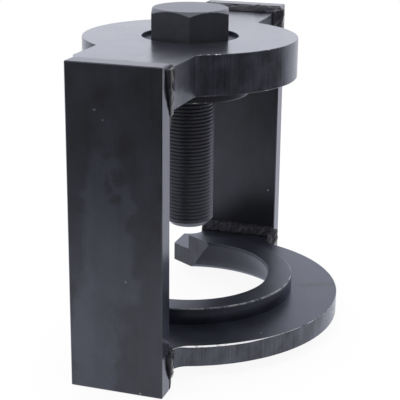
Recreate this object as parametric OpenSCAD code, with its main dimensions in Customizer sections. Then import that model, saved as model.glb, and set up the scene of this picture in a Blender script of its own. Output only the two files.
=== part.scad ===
// Slack adjuster puller: a welded steel frame with a forcing screw above a horseshoe base.
// Two side plates hold a round top plate and the base plate. The screw runs down through a
// threaded bush in the top plate and pushes on a shaft that comes up through the base plate's
// bore. X runs across the side plates, Y from the front plate to the rear one, Z up. The origin
// is on the screw's axis, level with the side plates' feet. All sizes are in millimetres.

/* [Side plates] */
// Width of each side plate, along X
plate_width = 50.8; // [46:0.1:56]
// Thickness of each side plate
plate_thickness = 11.1; // [9:0.1:13]
// Height of each side plate
plate_height = 172.5; // [166:0.5:190]
// Distance between the outer faces of the two side plates
frame_depth = 228.6; // [222:0.1:250]
// Broken edges of the side plates
edge_break = 0.5; // [0.2:0.1:0.8]

/* [Top plate] */
// Thickness of the top plate
top_thickness = 22; // [19:0.5:25]
// Depth of the top plate's upper face below the ends of the side plates
top_recess = 3.9; // [3:0.1:5]
// Radius of the top plate's round middle
disc_radius = 61; // [57:0.5:65]
// Distance of the ears' sides inside the edges of the side plates
ear_inset = 2.8; // [2:0.1:3.5]
// Radius of the fillets between the narrow ear sides and the disc
ear_fillet = 4; // [2:0.5:6]
// Half-width of the broad ear side, from the screw's axis
shoulder_half_width = 36.6; // [34:0.1:39]
// Length of narrow ear between the broad side's shoulder and the side plate
shoulder_gap = 24.5; // [20:0.5:28]
// Radius of the fillets between the broad ear sides and the disc
shoulder_fillet = 3; // [2:0.5:4]
// Diameter of the hole for the threaded bush
bush_hole_diameter = 55; // [53:0.1:57]

/* [Threaded bush] */
// Clearance all round between the bush and its hole
bush_clearance = 0.05; // [0.03:0.01:0.1]
// Depth of the bush's upper face below the top plate's
bush_recess = 2.3; // [1.5:0.1:3]
// Radius of the flange under the top plate
flange_radius = 34; // [31:0.5:37]
// Height of the flange
flange_height = 10.4; // [8:0.1:13]
// Broken edges of the flange
flange_edge = 0.6; // [0.3:0.1:1]

/* [Forcing screw] */
// Outer diameter of the screw's thread
screw_diameter = 28.575; // [25.4:0.025:30]
// Clearance all round between the screw and its bush
screw_clearance = 0.05; // [0.02:0.01:0.08]
// Turns of the screw's thread in 25.4 mm
thread_turns = 12; // [10:1:16]
// Depth of the thread
thread_depth = 1.3; // [0.8:0.05:1.5]
// Length of smooth shank between the thread and the bush
thread_gap = 1.2; // [0.5:0.1:4]
// Length of the screw under its head
screw_length = 109.2; // [100:0.1:120]
// Height of the head's underside above the bush
head_gap = 0.6; // [0.3:0.1:5]
// Distance across the flats of the hexagon head
head_across_flats = 42.86; // [41:0.01:44]
// Height of the head
head_height = 17.5; // [15:0.1:20]
// Turn of the head about the screw's axis
head_turn = 18; // [0:1:30]
// Distance of the head's chamfer inside its flats, at the top face
head_chamfer_inset = 0.7; // [0.3:0.1:1.5]
// Angle of the head's chamfer below its top face
head_chamfer_angle = 30; // [20:1:35]
// Chamfer of the screw's tip
tip_chamfer = 3.4; // [1:0.1:4]

/* [Base plate] */
// Height of the base plate's underside above the feet
base_lift = 6.4; // [4:0.1:8]
// Thickness of the base plate, without its lip
base_thickness = 11.6; // [10:0.1:13]
// Radius of the base plate's round edge
base_radius = 91.2; // [88:0.1:94]
// Distance of the round edge's centre from the screw's axis, towards the mouth
base_offset = 2.5; // [0:0.1:4]
// Distance of the straight edge from the screw's axis
base_flat = 32.8; // [30:0.1:35]
// Radius of the corners between the straight edge and the round one
base_corner = 8; // [5:0.5:10]
// Radius of the fillets between the round edge and the ears
base_fillet = 10; // [6:0.5:12]
// Outer radius of the lip
lip_radius = 61.8; // [60.5:0.1:66]
// Height of the lip above the base plate
lip_height = 9.5; // [8:0.1:12]
// Broken outer edge of the lip
lip_edge = 0.4; // [0.2:0.1:0.8]

/* [Conical bore and mouth] */
// Radius of the bore where it is narrowest
neck_radius = 47.4; // [45:0.1:49]
// Chamfer from the neck up to the lip's face
neck_chamfer = 1.2; // [0.6:0.1:2]
// Radius of the bore at the base plate's underside
bore_foot_radius = 59.7; // [57:0.1:62]
// Chamfer at the bore's foot
bore_foot_chamfer = 2.6; // [1:0.1:3.5]
// Distance of the mouth's faces from the screw's axis
mouth_distance = 38.6; // [37:0.1:42]
// Angle between each face of the mouth and X
mouth_splay = 32.4; // [27:0.1:36]

/* [Welds] */
// Reach of a bead along an ear
bead_reach = 5.5; // [4:0.1:6.5]
// Rise of a bead over the face of a side plate
bead_rise = 5.5; // [4:0.1:6]
// Height of a bead's round face above its chord
bead_crown = 0.8; // [0.4:0.1:1.2]
// Thickness of a bead at its toes
bead_toe = 0.2; // [0.1:0.05:0.4]
// Reach of the larger bead along the +X side of each ear
side_reach = 9; // [6:0.1:11]
// Thickness of the metal that runs from that bead over the edge of the side plate
wrap_thickness = 1.5; // [0.8:0.1:2]
// Width of that metal at the upper end of the front top weld
wrap_width = 7; // [5:0.1:9]
// Width of that metal at the upper ends of the other welds
narrow_wrap_width = 4.8; // [2:0.1:6]

/* [Hidden] */
$fn = 128;

// Length by which a cut runs past a face
past = 1;
// Side of a block that is larger than the whole puller
far = 2 * frame_depth;

plate_steel = "#2e2e34";
turned_steel = "#34353c";
screw_steel = "#2b2b31";
weld_steel = "#1c1c1f";

// Places along Y and X
inner_face = frame_depth / 2 - plate_thickness;
ear_half_width = plate_width / 2 - ear_inset;
shoulder_end = inner_face - shoulder_gap;

// Heights
top_face = plate_height - top_recess;
top_underside = top_face - top_thickness;
bush_top = top_face - bush_recess;
flange_underside = top_underside - flange_height;
head_underside = bush_top + head_gap;
screw_tip = head_underside - screw_length;
base_face = base_lift + base_thickness;
lip_face = base_face + lip_height;

// Most that a bead's crown may be of its shorter leg
bead_crown_share = 0.2;

// Radii of the bore's cone, between its two chamfers
bore_wide_radius = bore_foot_radius - bore_foot_chamfer;
bush_radius = bush_hole_diameter / 2 - bush_clearance;
screw_radius = screw_diameter / 2;

// Thread of the screw's free length: its pitch, its lowest crest and its number of whole ridges
thread_pitch = 25.4 / thread_turns;
thread_low = screw_tip + tip_chamfer;
ridges = floor((flange_underside - thread_gap - thread_low) / thread_pitch);

// Block with all its edges broken, on the plane Z = 0 and centred on X and Y
module broken_block(width, depth, height, cut) {
    intersection() {
        linear_extrude(height) broken_rectangle(width, depth, cut);
        translate([0, depth / 2, height / 2])
            rotate([90, 0, 0])
                linear_extrude(depth) broken_rectangle(width, height, cut);
        translate([-width / 2, 0, height / 2])
            rotate([90, 0, 90])
                linear_extrude(width) broken_rectangle(depth, height, cut);
    }
}

// Rectangle centred on the origin, with its corners cut off at 45 degrees
module broken_rectangle(width, height, cut) {
    x = width / 2;
    y = height / 2;
    polygon([
        [x - cut, -y], [x, cut - y], [x, y - cut], [x - cut, y],
        [cut - x, y], [-x, y - cut], [-x, cut - y], [cut - x, -y]
    ]);
}

// Side plate on the given side of the screw
module side_plate(side) {
    color(plate_steel)
        translate([0, side * (inner_face + plate_thickness / 2), 0])
            broken_block(plate_width, plate_thickness, plate_height, edge_break);
}

module front_side_plate() {
    side_plate(-1);
}

module rear_side_plate() {
    side_plate(1);
}

// Largest fillet between a disc and a straight edge along Y that ends before the edge does.
// The edge passes the disc's centre at the given distance and ends at Y = end.
function fillet_room(distance, round_radius, end) =
    (pow(end, 2) - pow(round_radius, 2) + pow(distance, 2)) / (2 * (round_radius - distance));

// Metal that fills the corner between a disc and a straight edge that leaves it along Y.
// The edge lies at X = edge_x and ends at Y = end, the disc's centre at X = centre_x and Y = 0.
module corner_fill(edge_x, centre_x, round_radius, fillet, end) {
    radius = min(fillet, fillet_room(edge_x - centre_x, round_radius, end));
    across = edge_x - centre_x + radius;
    fillet_centre = [centre_x + across, sqrt(pow(round_radius + radius, 2) - pow(across, 2))];
    on_disc = [centre_x, 0] + (fillet_centre - [centre_x, 0]) * round_radius / (round_radius + radius);
    inside = [centre_x + across - 2 * radius, on_disc[1] - 2 * radius];
    difference() {
        polygon([fillet_centre, [edge_x, fillet_centre[1]], inside, on_disc]);
        translate(fillet_centre) circle(radius);
    }
}

// Copies its children to both ends of the frame
module both_ends() {
    children();
    mirror([0, 1]) children();
}

// Outline of the top plate: a disc with a narrow edge on one side and shoulders on the other
module top_outline() {
    circle(disc_radius);
    translate([-ear_half_width, -inner_face])
        square([2 * ear_half_width, 2 * inner_face]);
    translate([-shoulder_half_width, -shoulder_end])
        square([shoulder_half_width, 2 * shoulder_end]);
    both_ends() {
        corner_fill(ear_half_width, 0, disc_radius, ear_fillet, inner_face);
        mirror([1, 0])
            corner_fill(shoulder_half_width, 0, disc_radius, shoulder_fillet, shoulder_end);
    }
}

module top_plate() {
    color(plate_steel)
        translate([0, 0, top_underside])
            difference() {
                linear_extrude(top_thickness) top_outline();
                translate([0, 0, -past])
                    cylinder(d = bush_hole_diameter, h = top_thickness + 2 * past);
            }
}

// Round edge, straight edge and the rounded corners between them
module base_round() {
    corner_x = base_offset - base_flat + base_corner;
    corner_y = sqrt(pow(base_radius - base_corner, 2) - pow(corner_x, 2));
    on_round = [corner_x, corner_y] * base_radius / (base_radius - base_corner);
    translate([-base_offset, 0])
        difference() {
            circle(base_radius);
            translate([-far, -far / 2]) square([far + base_offset - base_flat, far]);
            both_ends()
                difference() {
                    polygon([
                        [corner_x, corner_y], [corner_x - 2 * base_corner, corner_y],
                        [corner_x - 2 * base_corner, far], on_round * 2
                    ]);
                    translate([corner_x, corner_y]) circle(base_corner);
                }
        }
}

// Outline of the base plate without its ears, but with the fillets beside them
module filleted_base_round() {
    base_round();
    both_ends() {
        corner_fill(ear_half_width, -base_offset, base_radius, base_fillet, inner_face);
        mirror([1, 0])
            corner_fill(ear_half_width, base_offset, base_radius, base_fillet, inner_face);
    }
}

// Outline of the base plate, with an ear at each end
module base_outline() {
    filleted_base_round();
    translate([-ear_half_width, -inner_face])
        square([2 * ear_half_width, 2 * inner_face]);
}

// Lip that stands round the bore
module lip() {
    rotate_extrude()
        polygon([
            [0, base_lift], [lip_radius, base_lift], [lip_radius, lip_face - lip_edge],
            [lip_radius - lip_edge, lip_face], [0, lip_face]
        ]);
}

// Bore that widens downwards, with a chamfer at its neck and one at its foot
module conical_bore() {
    neck_height = lip_face - neck_chamfer;
    foot_height = base_lift + bore_foot_chamfer;
    rotate_extrude()
        polygon([
            [0, base_lift - past], [bore_foot_radius + past, base_lift - past],
            [bore_wide_radius, foot_height], [neck_radius, neck_height],
            [neck_radius + neck_chamfer + past, lip_face + past], [0, lip_face + past]
        ]);
}

// Mouth between two splayed faces, open towards -X
module mouth() {
    length = far / 2;
    middle_x = mouth_distance / sin(mouth_splay);
    translate([0, 0, base_lift - past])
        linear_extrude(base_thickness + lip_height + 2 * past)
            intersection() {
                polygon([
                    [middle_x, 0],
                    [middle_x - length, length * tan(mouth_splay)],
                    [middle_x - length, -length * tan(mouth_splay)]
                ]);
                translate([-length, -length]) square([length, 2 * length]);
            }
}

module base_plate() {
    color(turned_steel)
        difference() {
            union() {
                translate([0, 0, base_lift])
                    linear_extrude(base_thickness) base_outline();
                lip();
            }
            conical_bore();
            mouth();
        }
}

module threaded_bush() {
    color(turned_steel)
        rotate_extrude()
            polygon([
                [screw_radius + screw_clearance, flange_underside],
                [flange_radius - flange_edge, flange_underside],
                [flange_radius, flange_underside + flange_edge],
                [flange_radius, top_underside],
                [bush_radius, top_underside],
                [bush_radius, bush_top],
                [screw_radius + screw_clearance, bush_top]
            ]);
}

// Hexagon head with its upper corners turned off to a cone
module hexagon_head() {
    corner_radius = head_across_flats / 2 / cos(30);
    face_radius = head_across_flats / 2 - head_chamfer_inset;
    outside = corner_radius + past;
    drop = (outside - face_radius) * tan(head_chamfer_angle);
    intersection() {
        rotate(head_turn - 90) cylinder(r = corner_radius, h = head_height, $fn = 6);
        rotate_extrude()
            polygon([
                [0, 0], [outside, 0], [outside, head_height - drop],
                [face_radius, head_height], [0, head_height]
            ]);
    }
}

// Root and crest of each ridge of the thread, from the tip up. The thread is drawn as rings.
function thread_points() = [
    for (ridge = [0 : ridges - 1])
        each [
            [screw_radius - thread_depth, thread_low + (ridge + 0.5) * thread_pitch],
            [screw_radius, thread_low + (ridge + 1) * thread_pitch]
        ]
];

// The threaded length stands out of the bush. Inside the bush the shank is drawn smooth.
module forcing_screw() {
    color(screw_steel) {
        translate([0, 0, head_underside]) hexagon_head();
        rotate_extrude()
            polygon(concat(
                [[0, screw_tip], [screw_radius - tip_chamfer, screw_tip], [screw_radius, thread_low]],
                thread_points(),
                [[screw_radius, head_underside + past], [0, head_underside + past]]
            ));
    }
}

// Section of a bead in the corner of two faces: reach along one of them, rise along the other
module bead_section(reach, rise) {
    legs = [reach - bead_toe, rise - bead_toe];
    chord = norm(legs);
    crown = min(bead_crown, bead_crown_share * min(legs));
    face_radius = (pow(chord / 2, 2) + pow(crown, 2)) / (2 * crown);
    middle = [reach + bead_toe, rise + bead_toe] / 2;
    outward = [legs[1], legs[0]] / chord;
    intersection() {
        square([reach, rise]);
        translate(middle - outward * (face_radius - crown)) circle(face_radius);
    }
}

// Bead along X that lies on a face at the given height and rises from it
module level_bead(height, length, rise) {
    translate([-length / 2, 0, height])
        rotate([90, 0, 90])
            linear_extrude(length) bead_section(bead_reach, rise);
}

// Bead along Z on an ear side at the given distance from the middle
module upright_bead(x, low, high, rise) {
    translate([x, 0, low])
        linear_extrude(high - low)
            rotate(90) mirror([0, 1]) bead_section(bead_reach, rise);
}

// Beads all round an ear, in the frame of the side plate's inner face at Y = 0.
// Where a level bead meets an upright one, each ends on the other.
module ear_beads(low, high, upper_rise) {
    level_bead(high, 2 * ear_half_width, upper_rise);
    mirror_level(low) level_bead(low, 2 * ear_half_width, bead_rise);
    for (turn = [0, 1])
        mirror([turn, 0, 0]) {
            upright_bead(ear_half_width, low, high, ear_inset);
            intersection() {
                upright_bead(ear_half_width, high, high + upper_rise, ear_inset);
                level_bead(high, far, upper_rise);
            }
            intersection() {
                upright_bead(ear_half_width, low - bead_rise, low, ear_inset);
                mirror_level(low) level_bead(low, far, bead_rise);
            }
        }
}

// Turns its children upside down about the given height
module mirror_level(height) {
    translate([0, 0, 2 * height]) mirror([0, 0, 1]) children();
}

// Larger bead on the +X side of an ear, with metal that runs over the edge of the side plate.
// It thins out downwards. The width is that of the metal on the plate's edge, at its upper end.
module edge_wrap(low, high, width) {
    middle = (low + high) / 2;
    translate([plate_width / 2, 0, 0])
        intersection() {
            translate([0, 0, low])
                linear_extrude(high - low)
                    polygon([
                        [-ear_inset, 0], [-edge_break, 0], [0, -edge_break], [0, -width],
                        [bead_toe, -width], [wrap_thickness, -width / 2],
                        [wrap_thickness, wrap_thickness],
                        [bead_toe - ear_inset, side_reach], [-ear_inset, side_reach]
                    ]);
            translate([-ear_inset, 0, 0])
                rotate([90, 0, 90])
                    linear_extrude(ear_inset + wrap_thickness)
                        polygon([
                            [-width, high], [-bead_toe, low], [bead_reach, low],
                            [side_reach, middle], [side_reach, high]
                        ]);
            translate([0, side_reach, 0])
                rotate([90, 0, 0])
                    linear_extrude(side_reach + width)
                        polygon([
                            [-ear_inset, low], [bead_toe, low], [wrap_thickness, middle],
                            [wrap_thickness, high], [-ear_inset, high]
                        ]);
        }
}

// Moves beads from the plane Y = 0 to the inner face of the front plate
module at_front() {
    translate([0, -inner_face, 0]) children();
}

// Beads at the front end of the top plate. The width is that of the metal on the plate's edge.
module top_beads(width) {
    rise = top_recess - edge_break;
    at_front() {
        ear_beads(top_underside, top_face, rise);
        edge_wrap(top_underside, top_face + rise / 2, width);
    }
}

// Beads at the front end of the base plate, cut short where its round edge comes near the side plate
module bottom_beads() {
    difference() {
        at_front() {
            ear_beads(base_lift, base_face, bead_rise);
            edge_wrap(base_lift, base_face + bead_rise / 2, narrow_wrap_width);
        }
        translate([0, 0, base_lift])
            linear_extrude(base_thickness) filleted_base_round();
    }
}

module front_top_weld() {
    color(weld_steel) top_beads(wrap_width);
}

module rear_top_weld() {
    color(weld_steel) mirror([0, 1, 0]) top_beads(narrow_wrap_width);
}

module front_bottom_weld() {
    color(weld_steel) bottom_beads();
}

module rear_bottom_weld() {
    color(weld_steel) mirror([0, 1, 0]) bottom_beads();
}

front_side_plate();
rear_side_plate();
top_plate();
base_plate();
threaded_bush();
forcing_screw();
front_top_weld();
rear_top_weld();
front_bottom_weld();
rear_bottom_weld();
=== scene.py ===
# %% [markdown]
# Slack adjuster puller. The real tool is a welded frame of blackened steel: two flat bars stand on
# end and hold a thick top plate and a horseshoe base, and a hexagon screw comes down through a
# threaded bush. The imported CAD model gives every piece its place, so it is loaded first, and all
# that follows is set on it in metres.

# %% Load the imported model
import math

import bmesh
import bpy
from mathutils import Matrix, Vector, noise


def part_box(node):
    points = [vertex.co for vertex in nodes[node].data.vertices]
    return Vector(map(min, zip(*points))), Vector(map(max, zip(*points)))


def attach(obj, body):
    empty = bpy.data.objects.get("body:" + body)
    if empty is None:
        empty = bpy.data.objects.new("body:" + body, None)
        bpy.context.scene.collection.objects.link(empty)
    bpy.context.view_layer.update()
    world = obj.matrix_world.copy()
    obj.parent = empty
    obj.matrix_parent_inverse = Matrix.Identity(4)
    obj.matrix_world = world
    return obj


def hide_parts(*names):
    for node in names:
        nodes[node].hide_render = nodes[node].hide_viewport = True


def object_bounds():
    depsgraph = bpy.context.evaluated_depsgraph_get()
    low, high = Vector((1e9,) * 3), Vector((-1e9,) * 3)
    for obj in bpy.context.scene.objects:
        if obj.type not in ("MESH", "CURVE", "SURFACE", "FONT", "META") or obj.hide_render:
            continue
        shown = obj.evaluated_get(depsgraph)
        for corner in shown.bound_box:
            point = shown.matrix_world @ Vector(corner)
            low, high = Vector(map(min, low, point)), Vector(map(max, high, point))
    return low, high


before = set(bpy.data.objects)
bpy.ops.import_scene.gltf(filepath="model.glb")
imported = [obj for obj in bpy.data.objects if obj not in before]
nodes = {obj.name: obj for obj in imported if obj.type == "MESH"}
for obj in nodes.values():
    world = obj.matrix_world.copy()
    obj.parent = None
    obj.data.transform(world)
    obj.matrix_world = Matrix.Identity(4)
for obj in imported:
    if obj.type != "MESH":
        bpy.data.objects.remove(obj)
MM = 0.001
AXIS = Vector((0, 0, 1))
cad_box = [list(corner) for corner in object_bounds()]
print("CAD box in mm:", [[round(v / MM, 1) for v in corner] for corner in cad_box])

# %% [markdown]
# The photograph was taken from a little above and to the right of the front plate. A camera is a
# place, a direction and a lens. The eye and the point it looks at were found by fitting the model's
# corners to the photograph, so the camera is built from those two points and a small roll.

# %% Camera
EYE = Vector((213.87, -623.70, 279.14)) * MM
LOOKED_AT = Vector((18.63, -35.43, 83.39)) * MM
ROLL = math.radians(0.593)
LENS = 105.5

back = (EYE - LOOKED_AT).normalized()
right = AXIS.cross(back).normalized()
up = back.cross(right)
rolled_right = right * math.cos(ROLL) + up * math.sin(ROLL)
rolled_up = up * math.cos(ROLL) - right * math.sin(ROLL)
turn = Matrix((rolled_right, rolled_up, back)).transposed().to_4x4()

lens = bpy.data.cameras.new("camera")
lens.lens = LENS
lens.sensor_width = 36
lens.sensor_fit = "HORIZONTAL"
lens.clip_start = 0.01
camera = bpy.data.objects.new("camera", lens)
camera.matrix_world = Matrix.Translation(EYE) @ turn
bpy.context.collection.objects.link(camera)
bpy.context.scene.camera = camera
bpy.context.scene.view_settings.view_transform = "Standard"
print("camera", round((EYE - LOOKED_AT).length / MM), "mm from the puller's middle")

# %% [markdown]
# Every material is a small tree of nodes. One helper adds a node with its settings and links, and
# one turns the hex colours that people read into the linear light that the renderer wants.

# %% Two helpers for materials
def add(tree, kind, links=(), **settings):
    """Adds a node. Each link pairs a socket's name or number with a value or a node's socket."""
    node = tree.nodes.new(kind)
    for name, value in settings.items():
        setattr(node, name, value)
    for socket, value in links:
        if isinstance(value, bpy.types.NodeSocket):
            tree.links.new(value, node.inputs[socket])
        else:
            node.inputs[socket].default_value = value
    return node


def linear(colour):
    """Turns an sRGB colour such as #3c3c40 to linear red, green, blue and alpha."""
    parts = [int(colour[i:i + 2], 16) / 255 for i in (1, 3, 5)]
    return [p / 12.92 if p < 0.04045 else ((p + 0.055) / 1.055) ** 2.4 for p in parts] + [1]


# %% [markdown]
# The studio is a white sheet to stand on, white all round, and three curtains: a dark grey one on
# the photographer's side, a mid grey one on the right and a pale grey one on the left. Polished or
# blackened steel shows what is round it, so the curtains are what makes the front faces and the
# rims dark. The camera itself doesn't see them.

# %% White surroundings and the curtains
SHEET_RADIUS = 0.46
SHEET_PLACE = Vector((0, 0.1, -0.0002))
SHEET_GLOW = 0.92
CURTAIN_DISTANCE = 0.8
CURTAIN_RADIUS = 0.75
WEAVE_SCALE = 400.0
# Turn of each curtain round the puller, in degrees from the photographer's direction, and its greys
CURTAINS = {
    "front curtain": (0, "#4a4a4c", "#5a5a5c"),
    "right curtain": (75, "#7e7e80", "#8e8e90"),
    "left curtain": (-78, "#bcbcbe", "#c8c8ca"),
}

world = bpy.data.worlds.new("white surroundings")
world.use_nodes = True
bpy.context.scene.world = world
background = world.node_tree.nodes["Background"]
background.inputs["Color"].default_value = (1, 1, 1, 1)
background.inputs["Strength"].default_value = 1


def stage_disc(name, radius, place, facing, material):
    """Lays a round sheet of the stage at a place, facing a direction."""
    bm = bmesh.new()
    bmesh.ops.create_circle(bm, cap_ends=True, segments=96, radius=radius)
    bm.transform(Matrix.Translation(place) @ facing.to_track_quat("Z", "Y").to_matrix().to_4x4())
    mesh = bpy.data.meshes.new(name)
    bm.to_mesh(mesh)
    bm.free()
    mesh.materials.append(material)
    sheet = bpy.data.objects.new(name, mesh)
    bpy.context.collection.objects.link(sheet)
    return sheet


# The sheet lights the puller as white paper does. To the eye and in reflections it is a little glow
# and a little paper, which is white but keeps the puller's soft shadow.
paper = bpy.data.materials.new("white paper")
paper.use_nodes = True
tree = paper.node_tree
tree.nodes.clear()
path = add(tree, "ShaderNodeLightPath")
lit = add(tree, "ShaderNodeBsdfDiffuse", [("Color", linear("#ededee"))])
lit_less = add(tree, "ShaderNodeBsdfDiffuse", [("Color", linear("#5a5a5b"))])
glow = add(tree, "ShaderNodeEmission", [("Color", (1, 1, 1, 1)), ("Strength", SHEET_GLOW)])
seen = add(tree, "ShaderNodeAddShader", [(0, lit_less.outputs[0]), (1, glow.outputs[0])])
mirrored = add(tree, "ShaderNodeMath", [
    (0, path.outputs["Is Glossy Ray"]),
    (1, path.outputs["Is Transmission Ray"])], operation="MAXIMUM")
looked_at = add(tree, "ShaderNodeMath", [
    (0, path.outputs["Is Camera Ray"]), (1, mirrored.outputs[0])], operation="MAXIMUM")
mix = add(tree, "ShaderNodeMixShader", [
    (0, looked_at.outputs[0]), (1, lit.outputs[0]), (2, seen.outputs[0])])
add(tree, "ShaderNodeOutputMaterial", [("Surface", mix.outputs[0])])
stage_disc("sheet", SHEET_RADIUS, SHEET_PLACE, AXIS, paper)


def curtain_cloth(name, dark, pale):
    """Dull woven cloth between two greys."""
    cloth = bpy.data.materials.new(name)
    cloth.use_nodes = True
    tree = cloth.node_tree
    grain = add(tree, "ShaderNodeTexNoise", [("Scale", WEAVE_SCALE)])
    weave = add(tree, "ShaderNodeMix", [
        (0, grain.outputs["Fac"]), (6, linear(dark)), (7, linear(pale))], data_type="RGBA")
    tree.links.new(weave.outputs[2], tree.nodes["Principled BSDF"].inputs["Base Color"])
    tree.nodes["Principled BSDF"].inputs["Roughness"].default_value = 1
    return cloth


toward_camera = Vector((back.x, back.y, 0)).normalized()
for name, (angle, dark, pale) in CURTAINS.items():
    direction = Matrix.Rotation(math.radians(angle), 3, "Z") @ toward_camera
    cloth = curtain_cloth(name, dark, pale)
    curtain = stage_disc(name, CURTAIN_RADIUS, direction * CURTAIN_DISTANCE, -direction, cloth)
    curtain.visible_camera = False
print("stage: sheet and", ", ".join(CURTAINS))

# %% [markdown]
# The big lamp behind makes the upper faces pale, as the photograph has them. The one above fills
# the shadows, and a small one above the front picks out the worn edges.

# %% Soft lamps
# Each lamp's place, its size and its power in watts
LAMPS = {
    "lamp behind": ((-0.35, 1.15, 0.55), (1.5, 0.9), 1.7),
    "lamp above": ((0.1, 0.1, 1.3), (0.9, 0.9), 1.2),
    "small lamp": ((-0.1, -0.6, 1.15), (0.09, 0.09), 0.9),
}
for name, (place, size, power) in LAMPS.items():
    lamp = bpy.data.lights.new(name, "AREA")
    lamp.shape = "RECTANGLE"
    lamp.size, lamp.size_y = size
    lamp.energy = power
    holder = bpy.data.objects.new(name, lamp)
    holder.location = place
    holder.rotation_euler = (LOOKED_AT - Vector(place)).to_track_quat("-Z", "Y").to_euler()
    holder.visible_camera = False
    bpy.context.collection.objects.link(holder)
print("lamps:", ", ".join(LAMPS))

# %% [markdown]
# All the steel is black oxide: the clean metal is boiled in hot salts until a black skin of iron
# oxide about a micrometre thick grows on it, and is then oiled. The skin is half metal and half
# mineral to the eye. It gives back a few hundredths of the light that falls straight on it, some of
# it scattered, and much more at a low angle. That is a shader half way to metallic with a very dark
# colour, under a thin coat for the oil. What differs from piece to piece is the surface under the
# skin: brushed bar, ground plate, turned face, cut edge, thread or weld.

# %% What all black oxide shares
SKIN_TINT = linear("#dde2ff")
SKIN_METALLIC = 0.5
OIL_IOR = 1.47
OIL_COVER = 0.38


def black_oxide(name):
    """Starts an oxide-black material. Gives it with its tree, its shader and its coordinates."""
    material = bpy.data.materials.new(name)
    material.use_nodes = True
    tree = material.node_tree
    shader = tree.nodes["Principled BSDF"]
    shader.inputs["Metallic"].default_value = SKIN_METALLIC
    shader.inputs["Specular Tint"].default_value = SKIN_TINT
    shader.inputs["Coat Weight"].default_value = OIL_COVER
    shader.inputs["Coat IOR"].default_value = OIL_IOR
    place = add(tree, "ShaderNodeTexCoord").outputs["Object"]
    return material, tree, shader, place


def stretched_noise(tree, place, grain_mm, detail=3, roughness=0.55):
    """Noise whose grains have the given sizes along X, Y and Z, in millimetres."""
    scale = [1 / (size * MM) for size in grain_mm]
    mapped = add(tree, "ShaderNodeMapping", [("Vector", place), ("Scale", scale)])
    grain = add(tree, "ShaderNodeTexNoise", [
        ("Vector", mapped.outputs[0]), ("Scale", 1.0), ("Detail", detail),
        ("Roughness", roughness)])
    return grain.outputs["Fac"]


def finish_steel(tree, shader, shade, dark, pale, dullness, gloss, height, height_mm):
    """Sets the colour from dark to pale by shade, roughness over gloss by dullness, and relief."""
    colour = add(tree, "ShaderNodeMix", [
        (0, shade), (6, linear(dark)), (7, linear(pale))], data_type="RGBA")
    tree.links.new(colour.outputs[2], shader.inputs["Base Color"])
    rough = add(tree, "ShaderNodeMapRange", [
        ("Value", dullness), ("To Min", gloss[0]), ("To Max", gloss[1])])
    tree.links.new(rough.outputs[0], shader.inputs["Roughness"])
    tree.links.new(rough.outputs[0], shader.inputs["Coat Roughness"])
    relief = add(tree, "ShaderNodeBump", [
        ("Strength", 1.0), ("Distance", height_mm * MM), ("Height", height)])
    tree.links.new(relief.outputs[0], shader.inputs["Normal"])
    tree.links.new(relief.outputs[0], shader.inputs["Coat Normal"])


# %% [markdown]
# The side plates are cold-drawn bar, brushed along their length. The brush leaves fine upright
# lines, and the oil has dried on the broad face in a pale patch with darker spots. The lines are
# noise drawn out along Z. The patch and the spots are ovals at the places where they are on the
# real plate, with their edges made uneven by more noise. A few chips show duller steel, and the
# narrow sides are smoother than the broad ones.

# %% Brushed bar
FRONT_FACE = -114.3
REAR_INNER_FACE = 103.2
# How far the ovals reach off their level, in millimetres
OVAL_DEPTH = 8
# Ovals on the front plate as (X, Z, half-width, half-height) in millimetres
PALE_PATCHES = [
    (-6, 106, 10, 23), (-4, 80, 13, 42), (-2, 62, 15, 30), (-12, 22, 13, 42), (-1, 116, 7, 9),
    (3, 100, 7, 16)]
FAINT_PATCHES = [
    (-8, 146, 4, 6), (-3, 140, 6, 7), (-1, 134, 3, 6), (14, 120, 9, 12), (-18, 60, 6, 60)]
DARK_SPOTS = [
    (14, 44, 17, 7), (-4, 126, 3, 3), (3, 117, 3, 4), (-3, 112, 2, 4), (0, 104, 3, 3),
    (9, 93, 3, 4), (-20, 112, 5, 8), (-21, 101, 4, 5), (12, 70, 3, 6)]
CHIPS = [
    (-9.6, 149.5, 0.7, 0.35), (-5.3, 144.7, 0.35, 0.35), (5.9, 62, 0.35, 0.4),
    (13.4, 1.4, 0.5, 0.4)]
# One chip is on the rear plate's inner face
REAR_CHIPS = [(20.5, 49.4, 0.5, 0.5)]
# The width of each kind of mark's blurred edge, as a share of its size
PATCH_BLUR = 0.15
SPOT_BLUR = 0.4
CHIP_BLUR = 0.3
DULL_STEEL = "#98989c"
BARE_STEEL = "#c0c0c4"
# How far the patches' edges stray along X and Z, in metres, where the noise is strongest
EDGE_WANDER = (0.014, 0, 0.018)
# What each kind of mark adds to the shade, and the range of shades from dark to pale
FAINT_SHARE = 0.4
MOTTLE_SHARE = 0.35
LINE_SHARE = 0.35
OIL_SHARE = 0.5
BAR_SHADES = (0.6, 1.65)
# The narrow sides' roughness as a share of the broad faces', and the normal's part along X over
# which it changes from one to the other
NARROW_ROUGHNESS = 0.5
TURN_FROM = 0.3
TURN_TO = 0.6


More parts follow.
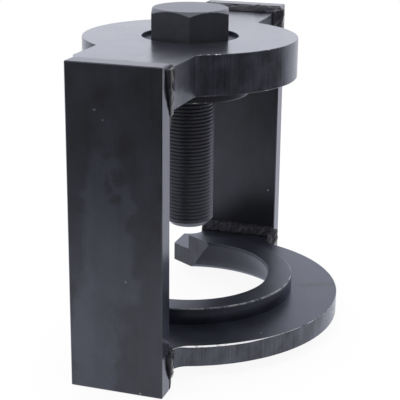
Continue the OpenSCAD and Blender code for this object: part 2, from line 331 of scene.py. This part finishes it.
def ovals(tree, place, spots, blur, level, lying=False):
    """A mask that is 1 inside any of the ovals and 0 outside. Upright ones are on X and Z at a
    level of Y, and lying ones on X and Y at a level of Z. They reach OVAL_DEPTH off that level."""
    mask = None
    for x, other, half_width, half_height in spots:
        middle = Vector((x, other, level) if lying else (x, level, other)) * MM
        half = [half_width, OVAL_DEPTH, half_height]
        if lying:
            half = [half_width, half_height, OVAL_DEPTH]
        size = Vector([1 / length for length in half]) / MM
        centred = add(tree, "ShaderNodeVectorMath", [(0, place), (1, middle)], operation="SUBTRACT")
        scaled = add(tree, "ShaderNodeVectorMath", [
            (0, centred.outputs[0]), (1, size)], operation="MULTIPLY")
        away = add(tree, "ShaderNodeVectorMath", [(0, scaled.outputs[0])], operation="LENGTH")
        inside = add(tree, "ShaderNodeMapRange", [
            ("Value", away.outputs["Value"]), ("From Min", 1 + blur), ("From Max", 1 - blur)])
        if mask is not None:
            inside = add(tree, "ShaderNodeMath", [
                (0, mask), (1, inside.outputs[0])], operation="MAXIMUM")
        mask = inside.outputs[0]
    return mask


def blot(tree, shader, mask, colour):
    """Gives the places of a mask another colour."""
    skin = shader.inputs["Base Color"].links[0].from_socket
    mixed = add(tree, "ShaderNodeMix", [
        (0, mask), (6, skin), (7, linear(colour))], data_type="RGBA")
    tree.links.new(mixed.outputs[2], shader.inputs["Base Color"])


material, tree, shader, place = black_oxide("brushed_bar_black_oxide")
lines = stretched_noise(tree, place, (0.4, 0.4, 50))
cloud = stretched_noise(tree, place, (14, 14, 22), detail=5)
wander = add(tree, "ShaderNodeTexNoise", [
    ("Vector", place), ("Scale", 90.0), ("Detail", 9.0), ("Roughness", 0.68)])
shift = add(tree, "ShaderNodeVectorMath", [
    (0, wander.outputs["Color"]), (1, (0.5, 0.5, 0.5))], operation="SUBTRACT")
moved = add(tree, "ShaderNodeVectorMath", [
    (0, shift.outputs[0]), (1, EDGE_WANDER), (2, place)], operation="MULTIPLY_ADD")
faint = ovals(tree, moved.outputs[0], FAINT_PATCHES, SPOT_BLUR, FRONT_FACE)
pale = ovals(tree, moved.outputs[0], PALE_PATCHES, PATCH_BLUR, FRONT_FACE)
spots = ovals(tree, moved.outputs[0], DARK_SPOTS, SPOT_BLUR, FRONT_FACE)
dried = add(tree, "ShaderNodeMath", [
    (0, faint), (1, FAINT_SHARE), (2, pale)], operation="MULTIPLY_ADD")
clear = add(tree, "ShaderNodeMath", [(0, 1.0), (1, spots)], operation="SUBTRACT")
oil = add(tree, "ShaderNodeMath", [
    (0, dried.outputs[0]), (1, clear.outputs[0])], operation="MULTIPLY")
mottle = stretched_noise(tree, place, (1.6, 1.6, 2.4), detail=4, roughness=0.7)
shade = cloud
for mark, share in ((mottle, MOTTLE_SHARE), (lines, LINE_SHARE), (oil.outputs[0], OIL_SHARE)):
    shade = add(tree, "ShaderNodeMath", [
        (0, mark), (1, share), (2, shade)], operation="MULTIPLY_ADD").outputs[0]
shade = add(tree, "ShaderNodeMapRange", [
    ("Value", shade), ("From Min", BAR_SHADES[0]), ("From Max", BAR_SHADES[1])])
finish_steel(
    tree, shader, shade.outputs[0], "#303033", "#4d505c", cloud, (0.30, 0.38), lines, 0.003)
blot(tree, shader, ovals(tree, place, CHIPS, CHIP_BLUR, FRONT_FACE), DULL_STEEL)
blot(tree, shader, ovals(tree, place, REAR_CHIPS, CHIP_BLUR, REAR_INNER_FACE), BARE_STEEL)
facing = add(tree, "ShaderNodeTexCoord").outputs["Normal"]
facing = add(tree, "ShaderNodeSeparateXYZ", [(0, facing)])
narrow = add(tree, "ShaderNodeMath", [(0, facing.outputs[0])], operation="ABSOLUTE")
smooth = add(tree, "ShaderNodeMapRange", [
    ("Value", narrow.outputs[0]), ("From Min", TURN_FROM), ("From Max", TURN_TO),
    ("To Min", 1.0), ("To Max", NARROW_ROUGHNESS)])
rough = shader.inputs["Roughness"].links[0].from_socket
rough = add(tree, "ShaderNodeMath", [(0, rough), (1, smooth.outputs[0])], operation="MULTIPLY")
tree.links.new(rough.outputs[0], shader.inputs["Roughness"])
tree.links.new(rough.outputs[0], shader.inputs["Coat Roughness"])
BRUSHED_BAR = material
print("material", material.name)

# %% [markdown]
# The upper and lower faces of the top plate and of the base are ground or faced on a lathe, and the
# tool has left rings round the axis. A ring pattern needs only the distance from the axis, and on
# the wall of the bore the height as well, so noise on those two numbers draws rings everywhere. The
# bore gets a darker and duller copy of the base's finish, which is painted shade for the hollow. The
# bush is darker and duller than the faces that are seen from above.

# %% Turned and ground faces
# The sums of two noises that stand for the darkest and the palest places
SHADES = (0.7, 1.3)


def turned_finish(name, ring_mm, ring_height_mm, dark, pale, gloss, shine):
    """Oxide-black steel with fine rings round the Z axis. shine scales how much it reflects."""
    material, tree, shader, place = black_oxide(name)
    split = add(tree, "ShaderNodeSeparateXYZ", [(0, place)])
    flat = add(tree, "ShaderNodeCombineXYZ", [(0, split.outputs[0]), (1, split.outputs[1])])
    radius = add(tree, "ShaderNodeVectorMath", [(0, flat.outputs[0])], operation="LENGTH")
    ring = add(tree, "ShaderNodeCombineXYZ", [(0, radius.outputs["Value"]), (2, split.outputs[2])])
    rings = stretched_noise(tree, ring.outputs[0], (ring_mm, 1, ring_mm), detail=2, roughness=0.7)
    cloud = stretched_noise(tree, place, (18, 18, 18), detail=5)
    fine = stretched_noise(tree, place, (0.9, 0.9, 0.9), detail=3, roughness=0.7)
    shade = add(tree, "ShaderNodeMath", [(0, cloud), (1, rings)], operation="ADD")
    shade = add(tree, "ShaderNodeMapRange", [
        ("Value", shade.outputs[0]), ("From Min", SHADES[0]), ("From Max", SHADES[1])])
    relief = add(tree, "ShaderNodeMath", [(0, rings), (1, fine)], operation="ADD")
    finish_steel(
        tree, shader, shade.outputs[0], dark, pale, cloud, gloss, relief.outputs[0], ring_height_mm)
    shader.inputs["Specular IOR Level"].default_value = shine / 2
    shader.inputs["Coat Weight"].default_value = OIL_COVER * shine
    print("material", material.name)
    return material


TURNED_FACE = turned_finish(
    "turned_face_black_oxide", 0.9, 0.030, "#26272c", "#414553", (0.30, 0.40), 0.75)
# The bore's darker, duller copy of the turned finish is painted shade
BORE_PAINTED_SHADE = turned_finish(
    "bore_face_painted_shade_black_oxide", 0.9, 0.030, "#1a1b1f", "#2b2e38", (0.30, 0.40), 0.5)
BUSH_FACE = turned_finish(
    "bush_face_black_oxide", 0.9, 0.020, "#19191b", "#29292d", (0.36, 0.44), 0.3)
GROUND_FACE = turned_finish(
    "ground_face_black_oxide", 1.6, 0.016, "#2c2d31", "#454750", (0.22, 0.30), 1)

# %% [markdown]
# A smear of dried oil crosses the upper face of the base, and one chip in the skin lies near its
# front. They are ovals again, this time lying on X and Y.

# %% Marks on the base
# Ovals as (X, Y, half-length, half-width) in millimetres, at the height of the base's upper face
BASE_TOP = 18
STAIN = [
    (66, 20, 3.5, 1.6), (70, 22.5, 4, 2.2), (74, 25, 4, 2.4), (78, 27.5, 4, 2.2), (82, 30, 3, 1.4)]
STAIN_BLUR = 0.8
BASE_CHIPS = [(61.1, -55.5, 0.4, 0.4)]
DRIED_OIL = "#241c17"

tree = TURNED_FACE.node_tree
shader = tree.nodes["Principled BSDF"]
place = add(tree, "ShaderNodeTexCoord").outputs["Object"]
blot(tree, shader, ovals(tree, place, STAIN, STAIN_BLUR, BASE_TOP, lying=True), DRIED_OIL)
blot(tree, shader, ovals(tree, place, BASE_CHIPS, CHIP_BLUR, BASE_TOP, lying=True), BARE_STEEL)

# %% [markdown]
# The outlines of both plates are cut by a torch or jet, which leaves upright lines down the edge.
# They are coarser than the brush lines, and easy to see where the edge turns to the light. The
# faces of the base's mouth have the same lines, in a darker copy that is painted shade.

# %% Cut edges
def cut_finish(name, dark, pale, gloss):
    """Oxide-black steel with coarse upright lines."""
    material, tree, shader, place = black_oxide(name)
    coarse = stretched_noise(tree, place, (0.9, 0.9, 40), detail=4, roughness=0.75)
    cloud = stretched_noise(tree, place, (9, 9, 12), detail=4)
    shade = add(tree, "ShaderNodeMath", [(0, coarse), (1, cloud)], operation="ADD")
    shade = add(tree, "ShaderNodeMapRange", [
        ("Value", shade.outputs[0]), ("From Min", SHADES[0]), ("From Max", SHADES[1])])
    finish_steel(tree, shader, shade.outputs[0], dark, pale, cloud, gloss, coarse, 0.10)
    print("material", material.name)
    return material


CUT_EDGE = cut_finish("cut_edge_black_oxide", "#252527", "#5a5d69", (0.16, 0.28))
# A darker copy of the cut finish on the faces of the base's mouth: painted shade
MOUTH_PAINTED_SHADE = cut_finish("mouth_face_painted_shade_black_oxide", "#18181a", "#3c3f49", (0.24, 0.34))

# %% [markdown]
# Where a sharp edge has been handled, the thin skin is rubbed through and bare steel shows as a
# bright broken line. That line is partly wear and partly painted highlight: the near-white colour
# and the extra bare steel towards the front are painted highlight. The narrow facets that soften
# the edges get this material, and noise decides where the skin is gone.

# %% Rubbed edges
# Places along Y, in millimetres, between which the wear and its painted highlight grow towards
# the front, and what they gain
WEAR_FROM = -45
WEAR_TO = -65
FRONT_WEAR_AND_HIGHLIGHT = 0.12
# How much noise lies between whole skin and bare steel
WEAR_EDGE = 0.12


def worn_edge_with_highlight(name, least):
    """Oxide-black steel, worn to bright metal where noise is above a level, most at the front. The
    near-white metal is partly painted highlight.
    """
    material, tree, shader, place = black_oxide(name)
    wear = stretched_noise(tree, place, (6, 6, 6), detail=6, roughness=0.7)
    split = add(tree, "ShaderNodeSeparateXYZ", [(0, place)])
    front = add(tree, "ShaderNodeMapRange", [
        ("Value", split.outputs[1]), ("From Min", WEAR_FROM * MM), ("From Max", WEAR_TO * MM),
        ("To Max", FRONT_WEAR_AND_HIGHLIGHT)])
    wear = add(tree, "ShaderNodeMath", [(0, wear), (1, front.outputs[0])], operation="ADD")
    bare = add(tree, "ShaderNodeMapRange", [
        ("Value", wear.outputs[0]), ("From Min", least), ("From Max", least + WEAR_EDGE)])
    fine = stretched_noise(tree, place, (0.6, 0.6, 0.6), detail=2)
    finish_steel(
        tree, shader, bare.outputs[0], "#36373c", "#f2f2f4", fine, (0.25, 0.4), fine, 0.02)
    metal = add(tree, "ShaderNodeMapRange", [
        ("Value", bare.outputs[0]), ("To Min", SKIN_METALLIC), ("To Max", 1.0)])
    tree.links.new(metal.outputs[0], shader.inputs["Metallic"])
    print("material", material.name)
    return material


# Rubbed edges, partly wear and partly painted highlight: near-white steel where the skin is gone
WORN_EDGE_WITH_HIGHLIGHT = worn_edge_with_highlight("worn_edge_with_painted_highlight", 0.44)
FAINT_WEAR_WITH_HIGHLIGHT = worn_edge_with_highlight("barely_worn_edge_with_painted_highlight", 0.56)

# %% [markdown]
# The screw has no brush lines, only a fine grain. A weld cools from the melt, so it is smooth and
# dark: its skin is not metallic, and what it reflects is weak but sharp.

# %% Screw and weld metal
material, tree, shader, place = black_oxide("screw_black_oxide")
cloud = stretched_noise(tree, place, (6, 6, 6), detail=5)
fine = stretched_noise(tree, place, (0.8, 0.8, 0.8), detail=3)
finish_steel(tree, shader, cloud, "#404045", "#54565e", fine, (0.36, 0.48), fine, 0.02)
SCREW_STEEL = material

material, tree, shader, place = black_oxide("weld_bead_black_oxide")
cloud = stretched_noise(tree, place, (3, 3, 3), detail=4)
fine = stretched_noise(tree, place, (0.7, 0.7, 0.7), detail=3)
finish_steel(tree, shader, cloud, "#2a2a2f", "#3e3e46", cloud, (0.07, 0.14), fine, 0.01)
shader.inputs["Metallic"].default_value = 0
shader.inputs["Specular IOR Level"].default_value = 0.1
shader.inputs["Coat Weight"].default_value = 0.12
WELD_METAL = material
print("materials", SCREW_STEEL.name, WELD_METAL.name)

# %% [markdown]
# The side plates have the right shape already, with their edges broken in the CAD model, so they
# only get their finish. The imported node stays, and its material slot points to ours.

# %% Side plates
for name in ("front_side_plate", "rear_side_plate"):
    for slot in nodes[name].material_slots:
        slot.link = "OBJECT"
        slot.material = BRUSHED_BAR
    print(name, "keeps its CAD mesh")

# %% [markdown]
# The machined pieces are right too, but their edges are knife-sharp, and no real edge is. Each is
# copied, its loose triangles are joined, flat areas become single faces, and every sharp edge gets
# a narrow facet. The facet is what catches the light, and on many edges its colour adds a painted
# highlight. Each face then takes the finish of the tool that made it, which its direction and height
# tell, and the base's bore and mouth take darker copies of theirs, which are painted shade.

# %% Softened copies of the machined pieces
SHARP = math.radians(25)
# Faces that meet at less than this angle, in radians, are one flat area
FLAT = 0.001
# Faces with fewer sides than this are strips of a curve, and are shaded smooth
FLAT_AREA_SIDES = 12
# Upright faces' normals have no more than this along Z
UPRIGHT = 0.05


def joined_copy(node):
    """A bmesh of a CAD node's mesh, with its triangles joined and flat areas made single faces."""
    bm = bmesh.new()
    bm.from_mesh(nodes[node].data)
    bmesh.ops.remove_doubles(bm, verts=bm.verts, dist=MM / 1000)
    flat = [edge for edge in bm.edges if edge.is_manifold and edge.calc_face_angle() < FLAT]
    bmesh.ops.dissolve_edges(bm, edges=flat, use_verts=False)
    return bm


def soften(bm, width_mm, slot):
    """Cuts a facet along every sharp outward edge and gives the facets a material slot."""
    sharp = [
        edge for edge in bm.edges
        if edge.is_manifold and edge.is_convex and edge.calc_face_angle() > SHARP]
    made = bmesh.ops.bevel(
        bm, geom=sharp, offset=width_mm * MM, offset_type="OFFSET", segments=1, profile=0.5,
        affect="EDGES", material=slot, clamp_overlap=True)
    return [face for face in made["faces"] if face.material_index == slot]


def place_piece(name, bm, materials, body, replaced):
    """Makes an object of a bmesh, smooth but for its sharp edges."""
    for face in bm.faces:
        face.smooth = len(face.verts) < FLAT_AREA_SIDES
    for edge in bm.edges:
        edge.smooth = edge.is_manifold and edge.calc_face_angle() < SHARP
    mesh = bpy.data.meshes.new(name)
    bm.to_mesh(mesh)
    bm.free()
    for material in materials:
        mesh.materials.append(material)
    piece = bpy.data.objects.new(name, mesh)
    bpy.context.collection.objects.link(piece)
    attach(piece, body)
    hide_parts(replaced)
    print(name, len(mesh.polygons), "faces")


def dress_by_direction(bm, wall_top):
    """Gives slot 0 to the machined faces, and slot 1 to upright ones that reach below a height."""
    for face in bm.faces:
        upright = abs(face.normal.z) < UPRIGHT
        low = min(vert.co.z for vert in face.verts) < wall_top
        face.material_index = 1 if upright and low else 0


def keep_rubbed_and_highlit(faces, rubbed):
    """Leaves the rubbed finish and its painted highlight on the facets for which rubbed(x, y, z),
    in millimetres, is true.
    """
    for face in faces:
        if not rubbed(*(face.calc_center_median() / MM)):
            face.material_index = 0


# %% [markdown]
# The base keeps its imported shape, but its bore and the faces of its mouth get darker copies of
# their finishes, which are painted shade.
# At the front the facet along its upper edge is wider, and widest where the cutter left a burr that
# shines in the photograph. The facet is widened by sliding its points on the faces that they
# belong to: the upper ones inwards and the lower ones down.

# %% Base plate
# The width of the facet on every sharp edge, in millimetres, as all lengths here are
BASE_FACET = 0.45
# The bore's wall faces inwards with less than this of its normal along Z
WALL_NORMAL = 0.7
# Upright faces on this side of X belong to the mouth
MOUTH_SIDE = -10
# Edges above this height and further out than this radius get the rubbed finish with its painted
# highlight: the outer edge of the lip and the upper edge of the base
RUBBED_AND_HIGHLIT_HEIGHT = 17
RUBBED_AND_HIGHLIT_RADIUS = 60
# The facet along the base's upper edge lies further out than this, and reaches no deeper than this
# below the upper face. Its upper points are this near to the face.
RIM_RADIUS = 85
FACET_DEPTH = 0.6
NEAR_TOP = 0.02
# What the front facet and the burr add, the burr's ends along X, and how fast it rises and fades
FACET_WIDTH = 0.08
BURR_WIDTH = 0.5
BURR_FROM = 25
BURR_TO = 66
BURR_RISE = 4
BURR_FADE = 8
# Slots of the base's materials
BASE_MATERIALS = [TURNED_FACE, CUT_EDGE, WORN_EDGE_WITH_HIGHLIGHT, BORE_PAINTED_SHADE, MOUTH_PAINTED_SHADE]
RUBBED_AND_HIGHLIT_SLOT = 2
BORE_SHADE_SLOT = 3
MOUTH_SHADE_SLOT = 4


def front_widening(x):
    """What the front facet gains at a place along X, in millimetres."""
    rise = min(1, (x - BURR_FROM) / BURR_RISE)
    return FACET_WIDTH * rise + BURR_WIDTH * max(0, min(rise, (BURR_TO - x) / BURR_FADE))


base = joined_copy("base_plate")
dress_by_direction(base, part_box("base_plate")[0].z + MM)
# The bore's faces and the mouth's upright faces get darker copies of their finishes: painted shade
for face in base.faces:
    x, y, z = face.calc_center_median()
    inward = face.normal.x * x + face.normal.y * y < 0
    if inward and abs(face.normal.z) < WALL_NORMAL:
        face.material_index = BORE_SHADE_SLOT
    if x < MOUTH_SIDE * MM and abs(face.normal.z) < UPRIGHT:
        face.material_index = MOUTH_SHADE_SLOT
keep_rubbed_and_highlit(
    soften(base, BASE_FACET, RUBBED_AND_HIGHLIT_SLOT),
    lambda x, y, z: z > RUBBED_AND_HIGHLIT_HEIGHT and math.hypot(x, y) > RUBBED_AND_HIGHLIT_RADIUS)
for vert in base.verts:
    x, y, z = vert.co / MM
    radius = math.hypot(x, y)
    in_front = y < 0 and x > BURR_FROM and radius > RIM_RADIUS
    if in_front and -FACET_DEPTH < z - BASE_TOP < NEAR_TOP:
        extra = front_widening(x)
        if z > BASE_TOP - NEAR_TOP:
            vert.co.x *= 1 - extra / radius
            vert.co.y *= 1 - extra / radius
        else:
            vert.co.z -= extra * MM
place_piece("base_plate_edged", base, BASE_MATERIALS, "frame", "base_plate")

# %% [markdown]
# The top plate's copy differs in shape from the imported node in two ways. Towards -X the real ears
# taper from the round middle to the full width of the side plates, so the inner ends of the packed
# ears' square shoulders are moved out onto that taper. Towards +X the ears run into the disc with a
# broad fillet: the points near the corner are moved onto a circle that touches ear and disc.

# %% Top plate
# Half-widths of the top plate's ears, of its broad part and of the side plates, in millimetres
EAR_HALF_WIDTH = 22.6
SHOULDER_HALF_WIDTH = 36.6
BAR_HALF_WIDTH = 25.4
# Places along Y: where the shoulders and the ears end, and limits that part one from the other
SHOULDER_END = 78.7
EAR_END = 103.2
PAST_SHOULDER = 70
AT_PLATE = 100
DISC_RADIUS = 61
FILLET = 9
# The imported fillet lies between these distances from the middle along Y
FILLET_FROM = 50
FILLET_TO = 62
# Points this near to a line are on it
ON_LINE = 0.1
TOP_FACET = 0.3
# The disc's edge gets the rubbed finish with its painted highlight beyond this radius, on the
# front at the right
RUBBED_AND_HIGHLIT_RIM = 58

top = joined_copy("top_plate")
for vert in top.verts:
    x, y = vert.co.x / MM, vert.co.y / MM
    if abs(x + EAR_HALF_WIDTH) < ON_LINE and abs(y) > AT_PLATE:
        vert.co.x = -BAR_HALF_WIDTH * MM
    elif abs(x + EAR_HALF_WIDTH) < ON_LINE and abs(y) > PAST_SHOULDER:
        vert.co.x = -(BAR_HALF_WIDTH + SHOULDER_HALF_WIDTH) / 2 * MM
        vert.co.y = math.copysign((SHOULDER_END + EAR_END) / 2 * MM, y)
for side in (-1, 1):
    reach = math.sqrt((DISC_RADIUS + FILLET) ** 2 - (EAR_HALF_WIDTH + FILLET) ** 2)
    middle = Vector((EAR_HALF_WIDTH + FILLET, side * reach, 0)) * MM
    toward_axis = -middle.normalized()
    for vert in top.verts:
        away = Vector((vert.co.x, vert.co.y, 0)) - middle
        beside = FILLET_FROM < side * vert.co.y / MM < FILLET_TO
        on_outline = beside and vert.co.x > (EAR_HALF_WIDTH - ON_LINE) * MM
        if on_outline and away.x < 0 and away.normalized().x < toward_axis.x:
            moved = middle + away.normalized() * FILLET * MM
            vert.co.x, vert.co.y = moved.x, moved.y
dress_by_direction(top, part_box("top_plate")[1].z)
keep_rubbed_and_highlit(
    soften(top, TOP_FACET, RUBBED_AND_HIGHLIT_SLOT),
    lambda x, y, z: math.hypot(x, y) > RUBBED_AND_HIGHLIT_RIM and x > 0 and -RUBBED_AND_HIGHLIT_RIM < y < 0)
place_piece(
    "top_plate_edged", top, [GROUND_FACE, CUT_EDGE, FAINT_WEAR_WITH_HIGHLIGHT], "frame", "top_plate")

# %% [markdown]
# The bush is all turned, so it has one finish and a narrow facet on its edges.

# %% Threaded bush
BUSH_FACET = 0.12

bush = joined_copy("threaded_bush")
soften(bush, BUSH_FACET, 1)
place_piece("bush_edged", bush, [BUSH_FACE, FAINT_WEAR_WITH_HIGHLIGHT], "frame", "threaded_bush")

# %% [markdown]
# The forcing screw has twelve threads to the inch. A thread is one V-shaped profile carried round
# the axis while it climbs by one pitch a turn, and that is what the spin operator does when it is
# given a small step along the axis. One turn is spun and the others are copies of it, each a pitch
# higher. The turns are then joined, both ends are cut off square, and the tip is turned down to its
# chamfer.

# %% Thread
PITCH = 25.4 * MM / 12
STEPS_A_TURN = 60
screw_low, screw_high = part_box("forcing_screw")
tip = screw_low.z
LOW_SHANK = 20 * MM
shank = [vert.co for vert in nodes["forcing_screw"].data.vertices if vert.co.z < tip + LOW_SHANK]
crest = max(math.hypot(co.x, co.y) for co in shank)
THREAD_DEPTH = 0.45 * PITCH
HEAD_HEIGHT = 17.5 * MM
head_underside = screw_high.z - HEAD_HEIGHT
TIP_CHAMFER = 3.4 * MM
HEAD_FACET = 0.3
# Points nearer than this to a cutting plane lie on it
ON_PLANE = 1e-7


def thread_profile():
    """One pitch of the thread from root to root: a flat root, a flank, a flat crest and a flank."""
    root = crest - THREAD_DEPTH
    return [(root, 0), (root, 0.125), (crest, 0.4375), (crest, 0.5625), (root, 0.875), (root, 1)]


def threaded_shank():
    """The shank with its thread, closed at both ends, from the tip to inside the head."""
    bm = bmesh.new()
    start = tip - PITCH
    turns = math.ceil((head_underside + MM - start) / PITCH) + 1
    verts = [bm.verts.new((x, 0, start + share * PITCH)) for x, share in thread_profile()]
    edges = [bm.edges.new(pair) for pair in zip(verts, verts[1:])]
    bmesh.ops.spin(
        bm, geom=verts + edges, cent=(0, 0, 0), axis=(0, 0, 1), dvec=(0, 0, PITCH / STEPS_A_TURN),
        angle=math.tau, steps=STEPS_A_TURN, use_merge=False)
    one_turn = bm.verts[:] + bm.edges[:] + bm.faces[:]
    for number in range(1, turns):
        copy = bmesh.ops.duplicate(bm, geom=one_turn)["geom"]
        moved = [part for part in copy if isinstance(part, bmesh.types.BMVert)]
        bmesh.ops.translate(bm, verts=moved, vec=(0, 0, number * PITCH))
    bmesh.ops.remove_doubles(bm, verts=bm.verts, dist=0.01 * MM)
    for height in (tip, head_underside + MM):
        everything = bm.verts[:] + bm.edges[:] + bm.faces[:]
        bmesh.ops.bisect_plane(
            bm, geom=everything, dist=ON_PLANE, plane_co=(0, 0, height), plane_no=(0, 0, 1),
            clear_inner=height == tip, clear_outer=height != tip)
        rim = [
            edge for edge in bm.edges
            if edge.is_boundary and abs(edge.verts[0].co.z - height) < 10 * ON_PLANE]
        bmesh.ops.edgeloop_fill(bm, edges=rim)
    for vert in bm.verts:
        radius = math.hypot(vert.co.x, vert.co.y)
        most = crest - TIP_CHAMFER + max(vert.co.z - tip, 0)
        if radius > most:
            vert.co.x *= most / radius
            vert.co.y *= most / radius
    bmesh.ops.recalc_face_normals(bm, faces=bm.faces)
    return bm


# %% [markdown]
# The head is cut from the merged CAD copy at the underside, so its hexagon and its turned chamfer
# stay true, and its edges are softened as the others are. Shank and head are one mesh, because the
# real screw is one piece.

# %% Forcing screw
head = joined_copy("forcing_screw")
everything = head.verts[:] + head.edges[:] + head.faces[:]
bmesh.ops.bisect_plane(
    head, geom=everything, dist=ON_PLANE, plane_co=(0, 0, head_underside + 0.01 * MM),
    plane_no=(0, 0, 1), clear_inner=True)
rim = [edge for edge in head.edges if edge.is_boundary]
bmesh.ops.edgeloop_fill(head, edges=rim)
keep_rubbed_and_highlit(soften(head, HEAD_FACET, 1), lambda x, y, z: z * MM > screw_high.z - MM)
head_mesh = bpy.data.meshes.new("head")
head.to_mesh(head_mesh)
head.free()
screw = threaded_shank()
screw.from_mesh(head_mesh)
place_piece(
    "forcing_screw_threaded", screw, [SCREW_STEEL, FAINT_WEAR_WITH_HIGHLIGHT], "screw", "forcing_screw")
print("thread of", round((head_underside - tip) / PITCH, 1), "turns")

# %% [markdown]
# A hand-laid weld is never even. The bead is a run of frozen puddles, each lapping over the last,
# and it is the glossiest thing on the puller. The CAD bead gives its size. A copy is rebuilt from
# small even faces, and its points are moved out and in along their normals by noise of two sizes:
# a large one for the uneven run of the bead, and a small one for the puddles. Every bead is a
# little fuller than the CAD one, and none reaches the floor.

# %% Weld beads
VOXEL = 0.45 * MM
ROUNDINGS = 6
LUMP_LENGTH = 9.0 * MM
LUMP_HEIGHT = 1.3 * MM
PUDDLE_LENGTH = 2.6 * MM
PUDDLE_HEIGHT = 0.4 * MM
FULLNESS = 0.35 * MM
FLOOR_GAP = 0.1 * MM
# Where in the two noises the puller lies
LUMP_SHIFT = Vector((7, 3, 5))
PUDDLE_SHIFT = Vector((2, 9, 4))
# The front top bead was laid evenly, and the rear bottom one least so
UNEVENNESS = {
    "front_top_weld": 0.3,
    "rear_top_weld": 1,
    "front_bottom_weld": 0.6,
    "rear_bottom_weld": 1.2,
}


def even_mesh(node):
    """A copy of a CAD node's mesh, rebuilt from small even faces."""
    bm = bmesh.new()
    bm.from_mesh(nodes[node].data)
    bmesh.ops.remove_doubles(bm, verts=bm.verts, dist=MM / 1000)
    mesh = bpy.data.meshes.new(node + "_even")
    bm.to_mesh(mesh)
    bm.free()
    piece = bpy.data.objects.new(node + "_even", mesh)
    bpy.context.collection.objects.link(piece)
    rebuild = piece.modifiers.new("even faces", "REMESH")
    rebuild.mode = "VOXEL"
    rebuild.voxel_size = VOXEL
    rounding = piece.modifiers.new("rounding", "SMOOTH")
    rounding.factor = 0.5
    rounding.iterations = ROUNDINGS
    bpy.context.view_layer.update()
    depsgraph = bpy.context.evaluated_depsgraph_get()
    even = bpy.data.meshes.new_from_object(piece.evaluated_get(depsgraph))
    bpy.data.objects.remove(piece)
    return even


def weld(node):
    """A lumpy bead in the place of a CAD one."""
    bm = bmesh.new()
    bm.from_mesh(even_mesh(node))
    bm.normal_update()
    moves = []
    for vert in bm.verts:
        lump = noise.noise(vert.co / LUMP_LENGTH + LUMP_SHIFT)
        puddle = noise.noise(vert.co / PUDDLE_LENGTH + PUDDLE_SHIFT)
        rise = lump * LUMP_HEIGHT + puddle * PUDDLE_HEIGHT
        moves.append(vert.normal * (FULLNESS + rise * UNEVENNESS[node]))
    for vert, move in zip(bm.verts, moves):
        vert.co += move
        vert.co.z = max(vert.co.z, cad_box[0][2] + FLOOR_GAP)
    place_piece(node + "_bead", bm, [WELD_METAL], "frame", node)


for node in UNEVENNESS:
    weld(node)
